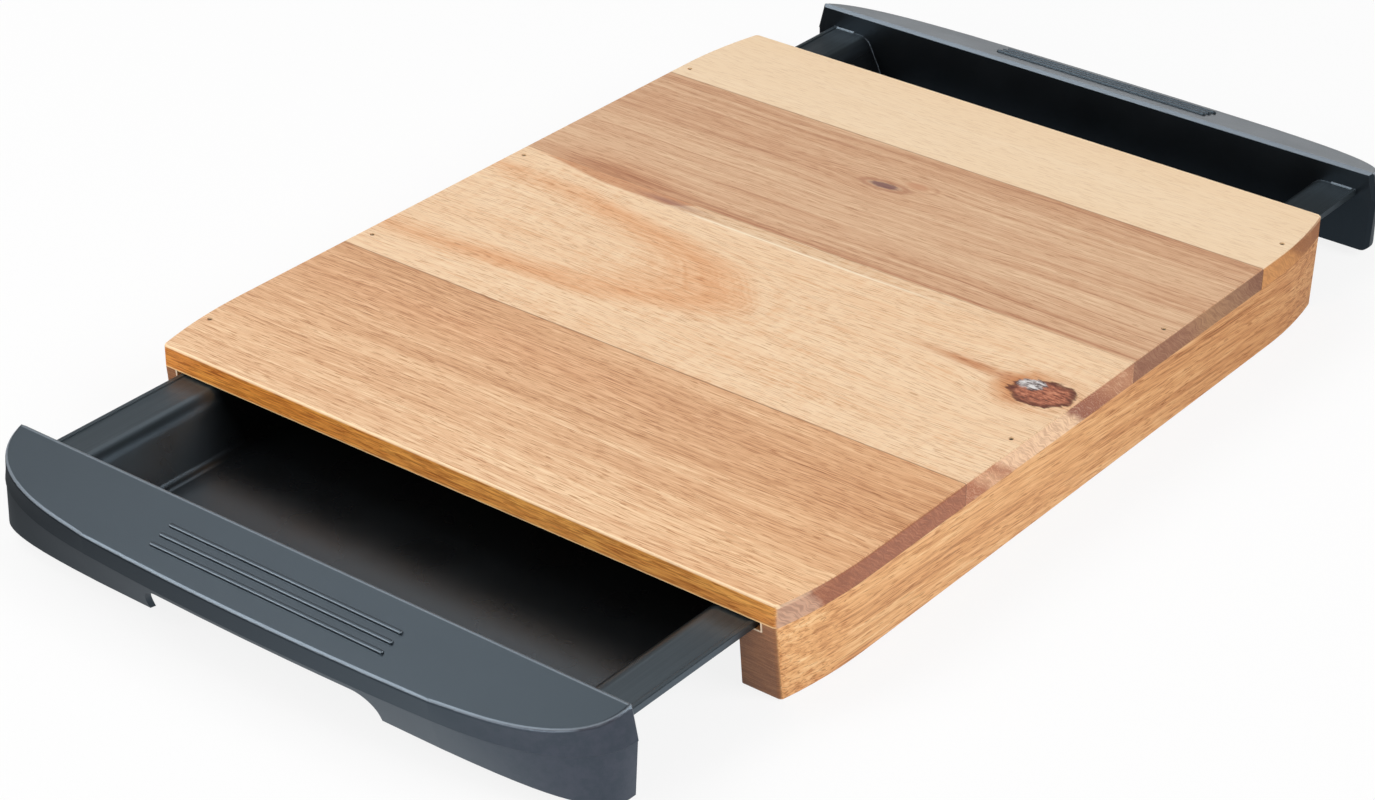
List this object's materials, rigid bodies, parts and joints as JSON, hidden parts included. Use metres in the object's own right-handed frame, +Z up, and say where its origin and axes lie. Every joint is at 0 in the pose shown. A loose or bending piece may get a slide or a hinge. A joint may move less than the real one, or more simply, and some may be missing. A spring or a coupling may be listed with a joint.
{
  "type": "cutting board with drawer trays",
  "caption": "Wooden cutting board on two rabbeted side rails, with a shallow black plastic tray sliding out from under each end by a hollow sloping handle.",
  "frame": {"origin": "centre of the cutting surface", "axes": "+Z up out of the cutting surface, +X along the planks' grain, +Y from the front tray to the back tray"},
  "size_m": [0.26, 0.4877, 0.035],
  "materials": {
    "wood_tan": "fine-sanded, lightly oiled",
    "wood_cream": "fine-sanded, lightly oiled",
    "wood_brown": "fine-sanded, lightly oiled",
    "wood_pale": "fine-sanded, lightly oiled",
    "wood_rail": "fine-sanded, lightly oiled",
    "nail_steel": "dull, tarnished",
    "tray_plastic": "moulded, satin"
  },
  "bodies": {
    "board": {"plank_front": "wood_tan", "plank_mid_front": "wood_cream", "plank_mid_back": "wood_brown", "plank_back": "wood_pale", "rail_left": "wood_rail", "rail_right": "wood_rail", "nails_left": "nail_steel", "nails_right": "nail_steel"},
    "front_tray_body": {"front_tray": "tray_plastic"},
    "back_tray_body": {"back_tray": "tray_plastic"}
  },
  "joints": [
    {"name": "front_tray_slide", "type": "slide", "parent": "board", "child": "front_tray_body", "axis": [0, -1, 0], "range_m": [-0.0629, 0.0948]},
    {"name": "back_tray_slide", "type": "slide", "parent": "board", "child": "back_tray_body", "axis": [0, 1, 0], "range_m": [-0.0412, 0.1165]}
  ]
}
